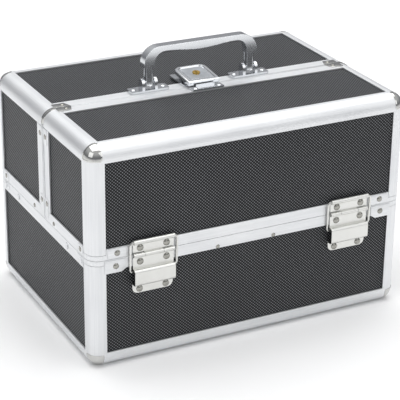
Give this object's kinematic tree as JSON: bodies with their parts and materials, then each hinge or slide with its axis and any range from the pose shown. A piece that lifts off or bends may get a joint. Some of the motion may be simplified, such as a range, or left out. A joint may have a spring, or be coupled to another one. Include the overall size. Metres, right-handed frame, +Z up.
{
  "type": "makeup train case",
  "caption": "Split-lid aluminium-framed cosmetics case whose lid halves swing open and lift stepped trays on arms, with stay hinges, a folding carrying handle and a key lock.",
  "frame": {"origin": "centre of the footprint, on the surface the case stands on", "axes": "+X to the case's right seen from the front, -Y out of the front, +Z up"},
  "size_m": [0.3018, 0.2212, 0.2385],
  "materials": {
    "panels": "fine embossed diamond grain",
    "extrusions": "satin anodised, fine lengthwise lines",
    "corner_caps": "polished nickel plate",
    "hinges": "bright nickel-plated steel",
    "arms": "zinc plated",
    "trays": "fine moulded grain",
    "lock": "polished",
    "key_cylinder": "turned",
    "handle": "polished"
  },
  "bodies": {
    "base": {"base_edge_frame": "extrusions", "base_rim": "extrusions", "base_floor_panel": "panels", "base_front_panel": "panels", "base_rear_panel": "panels", "base_left_panel": "panels", "base_right_panel": "panels", "base_front_left_corner_cap": "corner_caps", "front_left_hinge_base_leaf": "hinges", "base_front_right_corner_cap": "corner_caps", "front_right_hinge_base_leaf": "hinges", "base_rear_left_corner_cap": "corner_caps", "rear_left_hinge_base_leaf": "hinges", "base_rear_right_corner_cap": "corner_caps", "rear_right_hinge_base_leaf": "hinges"},
    "front_lid": {"front_lid_edge_frame": "extrusions", "front_lid_rim": "extrusions", "front_lid_meeting_frame": "extrusions", "front_lid_face_panel": "panels", "front_lid_top_panel": "panels", "front_lid_left_panel": "panels", "front_lid_right_panel": "panels", "front_lid_left_corner_cap": "corner_caps", "front_lid_right_corner_cap": "corner_caps", "front_left_hinge_lid_leaf": "hinges", "front_right_hinge_lid_leaf": "hinges", "lock_catch": "lock"},
    "front_left_ring": {"front_left_hinge_ring": "hinges"},
    "front_left_long_arm": {"front_left_long_arm": "arms"},
    "front_left_short_arm": {"front_left_short_arm": "arms"},
    "front_right_ring": {"front_right_hinge_ring": "hinges"},
    "front_right_long_arm": {"front_right_long_arm": "arms"},
    "front_right_short_arm": {"front_right_short_arm": "arms"},
    "front_upper_tray": {"front_upper_tray": "trays"},
    "front_lower_tray": {"front_lower_tray": "trays"},
    "rear_lid": {"rear_lid_edge_frame": "extrusions", "rear_lid_rim": "extrusions", "rear_lid_meeting_frame": "extrusions", "rear_lid_face_panel": "panels", "rear_lid_top_panel": "panels", "rear_lid_left_panel": "panels", "rear_lid_right_panel": "panels", "rear_lid_left_corner_cap": "corner_caps", "rear_lid_right_corner_cap": "corner_caps", "rear_left_hinge_lid_leaf": "hinges", "rear_right_hinge_lid_leaf": "hinges", "lock_base": "lock", "handle_left_bracket": "handle", "handle_right_bracket": "handle"},
    "rear_left_ring": {"rear_left_hinge_ring": "hinges"},
    "rear_left_long_arm": {"rear_left_long_arm": "arms"},
    "rear_left_short_arm": {"rear_left_short_arm": "arms"},
    "rear_right_ring": {"rear_right_hinge_ring": "hinges"},
    "rear_right_long_arm": {"rear_right_long_arm": "arms"},
    "rear_right_short_arm": {"rear_right_short_arm": "arms"},
    "rear_upper_tray": {"rear_upper_tray": "trays"},
    "rear_lower_tray": {"rear_lower_tray": "trays"},
    "handle": {"handle": "handle"},
    "lock_lever": {"lock_lever": "lock"},
    "lock_cylinder": {"lock_cylinder": "key_cylinder"}
  },
  "joints": [
    {"name": "front_lid_hinge", "type": "hinge", "parent": "base", "child": "front_lid", "pos_m": [0, -0.1072, 0.09955], "axis": [1, 0, 0], "range_deg": [0, 90]},
    {"name": "front_left_ring_swing", "type": "hinge", "parent": "front_lid", "child": "front_left_ring", "pos_m": [-0.094, -0.10735, 0.11145], "axis": [1, 0, 0], "range_deg": [-65, 5]},
    {"name": "front_left_long_arm_turn", "type": "hinge", "parent": "base", "child": "front_left_long_arm", "pos_m": [-0.143, -0.086, 0.0948], "axis": [1, 0, 0], "range_deg": [0, 90]},
    {"name": "front_left_short_arm_turn", "type": "hinge", "parent": "base", "child": "front_left_short_arm", "pos_m": [-0.143, -0.056, 0.0948], "axis": [1, 0, 0], "range_deg": [0, 90]},
    {"name": "front_right_ring_swing", "type": "hinge", "parent": "front_lid", "child": "front_right_ring", "pos_m": [0.094, -0.10735, 0.11145], "axis": [1, 0, 0], "range_deg": [-65, 5]},
    {"name": "front_right_long_arm_turn", "type": "hinge", "parent": "base", "child": "front_right_long_arm", "pos_m": [0.143, -0.086, 0.0948], "axis": [1, 0, 0], "range_deg": [0, 90]},
    {"name": "front_right_short_arm_turn", "type": "hinge", "parent": "base", "child": "front_right_short_arm", "pos_m": [0.143, -0.056, 0.0948], "axis": [1, 0, 0], "range_deg": [0, 90]},
    {"name": "front_upper_tray_level", "type": "hinge", "parent": "front_left_long_arm", "child": "front_upper_tray", "pos_m": [-0.138, -0.026, 0.1348], "axis": [1, 0, 0], "range_deg": [-90, 0]},
    {"name": "front_lower_tray_level", "type": "hinge", "parent": "front_left_long_arm", "child": "front_lower_tray", "pos_m": [-0.138, -0.056, 0.1148], "axis": [1, 0, 0], "range_deg": [-90, 0]},
    {"name": "rear_lid_hinge", "type": "hinge", "parent": "base", "child": "rear_lid", "pos_m": [0, 0.1072, 0.09955], "axis": [-1, 0, 0], "range_deg": [0, 90]},
    {"name": "rear_left_ring_swing", "type": "hinge", "parent": "rear_lid", "child": "rear_left_ring", "pos_m": [-0.094, 0.10735, 0.11145], "axis": [-1, 0, 0], "range_deg": [-65, 5]},
    {"name": "rear_left_long_arm_turn", "type": "hinge", "parent": "base", "child": "rear_left_long_arm", "pos_m": [-0.143, 0.086, 0.0948], "axis": [-1, 0, 0], "range_deg": [0, 90]},
    {"name": "rear_left_short_arm_turn", "type": "hinge", "parent": "base", "child": "rear_left_short_arm", "pos_m": [-0.143, 0.056, 0.0948], "axis": [-1, 0, 0], "range_deg": [0, 90]},
    {"name": "rear_right_ring_swing", "type": "hinge", "parent": "rear_lid", "child": "rear_right_ring", "pos_m": [0.094, 0.10735, 0.11145], "axis": [-1, 0, 0], "range_deg": [-65, 5]},
    {"name": "rear_right_long_arm_turn", "type": "hinge", "parent": "base", "child": "rear_right_long_arm", "pos_m": [0.143, 0.086, 0.0948], "axis": [-1, 0, 0], "range_deg": [0, 90]},
    {"name": "rear_right_short_arm_turn", "type": "hinge", "parent": "base", "child": "rear_right_short_arm", "pos_m": [0.143, 0.056, 0.0948], "axis": [-1, 0, 0], "range_deg": [0, 90]},
    {"name": "rear_upper_tray_level", "type": "hinge", "parent": "rear_left_long_arm", "child": "rear_upper_tray", "pos_m": [-0.138, 0.026, 0.1348], "axis": [-1, 0, 0], "range_deg": [-90, 0]},
    {"name": "rear_lower_tray_level", "type": "hinge", "parent": "rear_left_long_arm", "child": "rear_lower_tray", "pos_m": [-0.138, 0.056, 0.1148], "axis": [-1, 0, 0], "range_deg": [-90, 0]},
    {"name": "handle_fold", "type": "hinge", "parent": "rear_lid", "child": "handle", "pos_m": [0, -0.001, 0.206], "axis": [1, 0, 0], "range_deg": [-90, 90]},
    {"name": "lock_lever_lift", "type": "hinge", "parent": "rear_lid", "child": "lock_lever", "pos_m": [0, 0.0165, 0.2043], "axis": [-1, 0, 0], "range_deg": [0, 45]},
    {"name": "key_turn", "type": "hinge", "parent": "lock_lever", "child": "lock_cylinder", "pos_m": [0, 0.00457, 0.20305], "axis": [0, -0.1045, 0.9945], "range_deg": [0, 90]}
  ],
  "couplings": [
    {"joint": "front_left_ring_swing", "follows": "front_lid_hinge", "ratio": -0.7},
    {"joint": "front_left_long_arm_turn", "follows": "front_lid_hinge", "ratio": 1},
    {"joint": "front_left_short_arm_turn", "follows": "front_lid_hinge", "ratio": 1},
    {"joint": "front_right_ring_swing", "follows": "front_lid_hinge", "ratio": -0.7},
    {"joint": "front_right_long_arm_turn", "follows": "front_lid_hinge", "ratio": 1},
    {"joint": "front_right_short_arm_turn", "follows": "front_lid_hinge", "ratio": 1},
    {"joint": "front_upper_tray_level", "follows": "front_lid_hinge", "ratio": -1},
    {"joint": "front_lower_tray_level", "follows": "front_lid_hinge", "ratio": -1},
    {"joint": "rear_left_ring_swing", "follows": "rear_lid_hinge", "ratio": -0.7},
    {"joint": "rear_left_long_arm_turn", "follows": "rear_lid_hinge", "ratio": 1},
    {"joint": "rear_left_short_arm_turn", "follows": "rear_lid_hinge", "ratio": 1},
    {"joint": "rear_right_ring_swing", "follows": "rear_lid_hinge", "ratio": -0.7},
    {"joint": "rear_right_long_arm_turn", "follows": "rear_lid_hinge", "ratio": 1},
    {"joint": "rear_right_short_arm_turn", "follows": "rear_lid_hinge", "ratio": 1},
    {"joint": "rear_upper_tray_level", "follows": "rear_lid_hinge", "ratio": -1},
    {"joint": "rear_lower_tray_level", "follows": "rear_lid_hinge", "ratio": -1}
  ]
}
